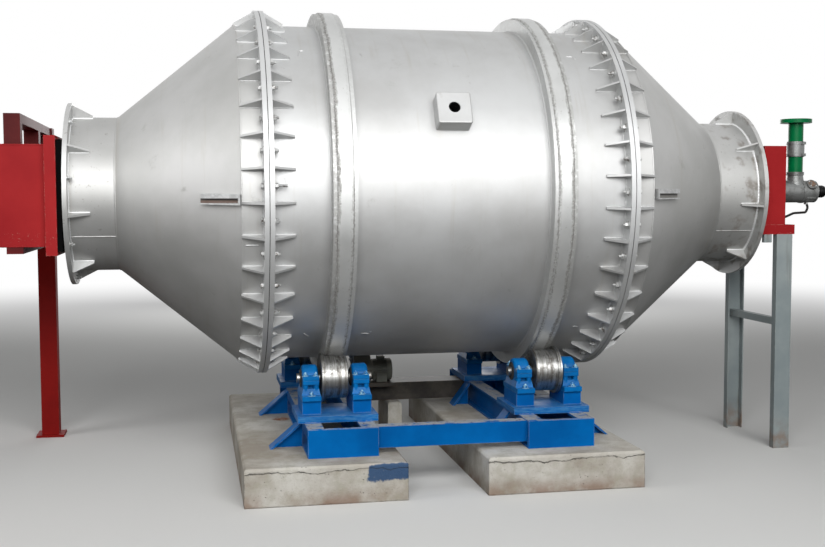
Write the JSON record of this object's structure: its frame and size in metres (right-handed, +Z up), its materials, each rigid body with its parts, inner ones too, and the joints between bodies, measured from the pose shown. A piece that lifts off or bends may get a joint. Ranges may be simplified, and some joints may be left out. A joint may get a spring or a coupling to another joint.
{
  "type": "rotary melting furnace",
  "caption": "Brick-lined steel drum with coned ends turning on support rollers, with a flue hood and a burner box.",
  "frame": {"origin": "on the ground, straight under the middle of the drum", "axes": "+X along the drum's axis towards the burner end, +Y away from the tapping side, +Z up"},
  "size_m": [5.55, 2.29, 2.7159],
  "materials": {
    "drum_paint": "aluminium paint, satin",
    "ring_steel": "machined tread, aluminium paint worn off",
    "refractory": "rammed refractory, matt",
    "gasket": "woven ceramic rope, dark",
    "roller_steel": "turned and rolled bright",
    "housing_blue": "casting with gloss blue paint",
    "frame_blue": "gloss blue paint",
    "dark_steel": "dark primer",
    "drive_grey": "grey machine paint",
    "concrete": "cast concrete, rough",
    "hood_red": "red oxide enamel",
    "jib_red": "dark red primer",
    "seal_black": "heat-resisting black, matt",
    "post_grey": "grey primer",
    "burner_silver": "cast and painted silver",
    "pipe_green": "gloss green paint"
  },
  "bodies": {
    "base": {"plinth_left": "concrete", "plinth_right": "concrete", "drive_pier": "concrete", "base_frame_left": "frame_blue", "base_frame_right": "frame_blue", "frame_braces_left": "frame_blue", "frame_braces_right": "frame_blue", "front_tie_beam": "frame_blue", "rear_tie_beam": "dark_steel", "roller_seats_left": "frame_blue", "roller_seats_right": "frame_blue", "bearing_bases_left": "housing_blue", "bearing_bases_right": "housing_blue", "bearing_caps_left": "housing_blue", "bearing_caps_right": "housing_blue", "drive_plate": "dark_steel", "chain_case": "drive_grey", "motor": "drive_grey", "burner_box": "hood_red", "burner_ledge": "hood_red", "burner_posts": "post_grey", "burner_brace": "post_grey", "burner": "burner_silver", "air_pipe": "pipe_green", "air_sleeve": "burner_silver", "air_flange": "pipe_green", "flue_hood": "hood_red", "hood_frame": "hood_red", "hood_seal": "seal_black", "flue_outlet": "hood_red", "hood_column": "jib_red", "hood_jib": "jib_red"},
    "drum": {"drum_shell": "drum_paint", "drum_flange_left": "drum_paint", "drum_flange_right": "drum_paint", "cone_flange_left": "drum_paint", "cone_flange_right": "drum_paint", "joint_gaskets": "gasket", "joint_gussets_left": "drum_paint", "joint_gussets_right": "drum_paint", "cone_left": "drum_paint", "cone_right": "drum_paint", "throat_flange_left": "drum_paint", "throat_flange_right": "drum_paint", "throat_gussets": "drum_paint", "lining_drum": "refractory", "lining_cone_left": "refractory", "lining_cone_right": "refractory", "riding_ring_left": "ring_steel", "riding_ring_right": "ring_steel", "ring_retainers": "ring_steel", "tap_block": "drum_paint", "cone_lugs": "drum_paint"},
    "front_roller_left": {"front_roller_left": "roller_steel"},
    "front_roller_right": {"front_roller_right": "roller_steel"},
    "rear_rollers": {"rear_roller_left": "roller_steel", "rear_roller_right": "roller_steel", "drive_shaft": "roller_steel"}
  },
  "joints": [
    {"name": "drum_spin", "type": "hinge", "parent": "base", "child": "drum", "pos_m": [0, 0, 1.63], "axis": [1, 0, 0], "continuous": true},
    {"name": "front_left_spin", "type": "hinge", "parent": "base", "child": "front_roller_left", "pos_m": [-0.604, -0.60225, 0.58687], "axis": [1, 0, 0], "continuous": true},
    {"name": "front_right_spin", "type": "hinge", "parent": "base", "child": "front_roller_right", "pos_m": [0.604, -0.60225, 0.58687], "axis": [1, 0, 0], "continuous": true},
    {"name": "rear_spin", "type": "hinge", "parent": "base", "child": "rear_rollers", "pos_m": [0, 0.60225, 0.58687], "axis": [1, 0, 0], "continuous": true}
  ],
  "couplings": [
    {"joint": "front_left_spin", "follows": "drum_spin", "ratio": -9.0333},
    {"joint": "front_right_spin", "follows": "drum_spin", "ratio": -9.0333},
    {"joint": "rear_spin", "follows": "drum_spin", "ratio": -9.0333}
  ]
}
